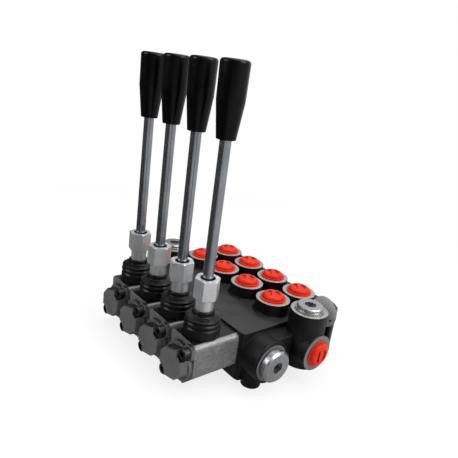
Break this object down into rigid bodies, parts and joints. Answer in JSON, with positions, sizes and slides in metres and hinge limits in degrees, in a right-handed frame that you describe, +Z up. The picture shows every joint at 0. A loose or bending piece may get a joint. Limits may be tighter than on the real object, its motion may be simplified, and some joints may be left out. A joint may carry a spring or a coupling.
{
  "type": "sectional control valve",
  "caption": "Lever-operated hydraulic directional control valve block with ball levers, rubber boots, spring caps, relief valve and plugged ports.",
  "frame": {"origin": "middle of the four feet, on the face that they stand on", "axes": "+X along the row of spools towards the inlet end, -Y towards the levers, +Z up along the levers"},
  "size_m": [0.2246, 0.2016, 0.2675],
  "materials": {
    "body_cast": "satin black paint on a cast surface, with port faces and pads machined bright",
    "housing_metal": "die cast, dull grey, brighter where handled",
    "cap_metal": "die cast, flat mid grey",
    "spool_steel": "ground and lapped",
    "rod_steel": "bright drawn bar",
    "spring_steel": "drawn wire",
    "zinc": "clear zinc plate",
    "black_screw": "black oxide",
    "knob_plastic": "moulded black, semi-gloss",
    "boot_rubber": "matt moulded",
    "seal_rubber": "matt moulded",
    "plug_plastic": "orange-red moulded plastic"
  },
  "bodies": {
    "valve": {"valve_body": "body_cast", "lever_housing_1": "housing_metal", "lever_housing_2": "housing_metal", "lever_housing_3": "housing_metal", "lever_housing_4": "housing_metal", "end_cap_1": "cap_metal", "end_cap_2": "cap_metal", "end_cap_3": "cap_metal", "end_cap_4": "cap_metal", "ball_retainer_1": "zinc", "ball_retainer_2": "zinc", "ball_retainer_3": "zinc", "ball_retainer_4": "zinc", "boot_1": "boot_rubber", "boot_2": "boot_rubber", "boot_3": "boot_rubber", "boot_4": "boot_rubber", "spring_cap_1": "cap_metal", "spring_cap_2": "cap_metal", "spring_cap_3": "cap_metal", "spring_cap_4": "cap_metal", "centring_spring_1": "spring_steel", "centring_spring_2": "spring_steel", "centring_spring_3": "spring_steel", "centring_spring_4": "spring_steel", "spool_seals": "seal_rubber", "housing_screws": "black_screw", "spring_cap_screws": "black_screw", "port_plugs_front": "plug_plastic", "port_plugs_back": "plug_plastic", "end_port_plugs": "plug_plastic", "inlet_top_plug": "zinc", "outlet_top_plug": "zinc", "tank_gallery_plug": "zinc", "inlet_gallery_plug": "zinc", "relief_cartridge": "zinc", "relief_lock_nut": "zinc", "relief_adjuster": "black_screw"},
    "lever_1": {"lever_stem_1": "spool_steel", "hex_sleeve_1": "zinc", "lever_rod_1": "rod_steel", "knob_1": "knob_plastic"},
    "spool_body_1": {"spool_1": "spool_steel"},
    "lever_2": {"lever_stem_2": "spool_steel", "hex_sleeve_2": "zinc", "lever_rod_2": "rod_steel", "knob_2": "knob_plastic"},
    "spool_body_2": {"spool_2": "spool_steel"},
    "lever_3": {"lever_stem_3": "spool_steel", "hex_sleeve_3": "zinc", "lever_rod_3": "rod_steel", "knob_3": "knob_plastic"},
    "spool_body_3": {"spool_3": "spool_steel"},
    "lever_4": {"lever_stem_4": "spool_steel", "hex_sleeve_4": "zinc", "lever_rod_4": "rod_steel", "knob_4": "knob_plastic"},
    "spool_body_4": {"spool_4": "spool_steel"}
  },
  "joints": [
    {"name": "lever_1_swing", "type": "hinge", "parent": "valve", "child": "lever_1", "pos_m": [0.057, -0.089, 0.0505], "axis": [1, 0, 0], "range_deg": [-15, 15], "stiffness_Nm_per_rad": 6, "deforming": ["boot_1"]},
    {"name": "spool_1_travel", "type": "slide", "parent": "valve", "child": "spool_body_1", "axis": [0, 1, 0], "range_m": [-0.0058, 0.0058], "deforming": ["centring_spring_1"]},
    {"name": "lever_2_swing", "type": "hinge", "parent": "valve", "child": "lever_2", "pos_m": [0.019, -0.089, 0.0505], "axis": [1, 0, 0], "range_deg": [-15, 15], "stiffness_Nm_per_rad": 6, "deforming": ["boot_2"]},
    {"name": "spool_2_travel", "type": "slide", "parent": "valve", "child": "spool_body_2", "axis": [0, 1, 0], "range_m": [-0.0058, 0.0058], "deforming": ["centring_spring_2"]},
    {"name": "lever_3_swing", "type": "hinge", "parent": "valve", "child": "lever_3", "pos_m": [-0.019, -0.089, 0.0505], "axis": [1, 0, 0], "range_deg": [-15, 15], "stiffness_Nm_per_rad": 6, "deforming": ["boot_3"]},
    {"name": "spool_3_travel", "type": "slide", "parent": "valve", "child": "spool_body_3", "axis": [0, 1, 0], "range_m": [-0.0058, 0.0058], "deforming": ["centring_spring_3"]},
    {"name": "lever_4_swing", "type": "hinge", "parent": "valve", "child": "lever_4", "pos_m": [-0.057, -0.089, 0.0505], "axis": [1, 0, 0], "range_deg": [-15, 15], "stiffness_Nm_per_rad": 6, "deforming": ["boot_4"]},
    {"name": "spool_4_travel", "type": "slide", "parent": "valve", "child": "spool_body_4", "axis": [0, 1, 0], "range_m": [-0.0058, 0.0058], "deforming": ["centring_spring_4"]}
  ],
  "couplings": [
    {"joint": "spool_1_travel", "follows": "lever_1_swing", "m_per_rad": 0.02175},
    {"joint": "spool_2_travel", "follows": "lever_2_swing", "m_per_rad": 0.02175},
    {"joint": "spool_3_travel", "follows": "lever_3_swing", "m_per_rad": 0.02175},
    {"joint": "spool_4_travel", "follows": "lever_4_swing", "m_per_rad": 0.02175}
  ]
}
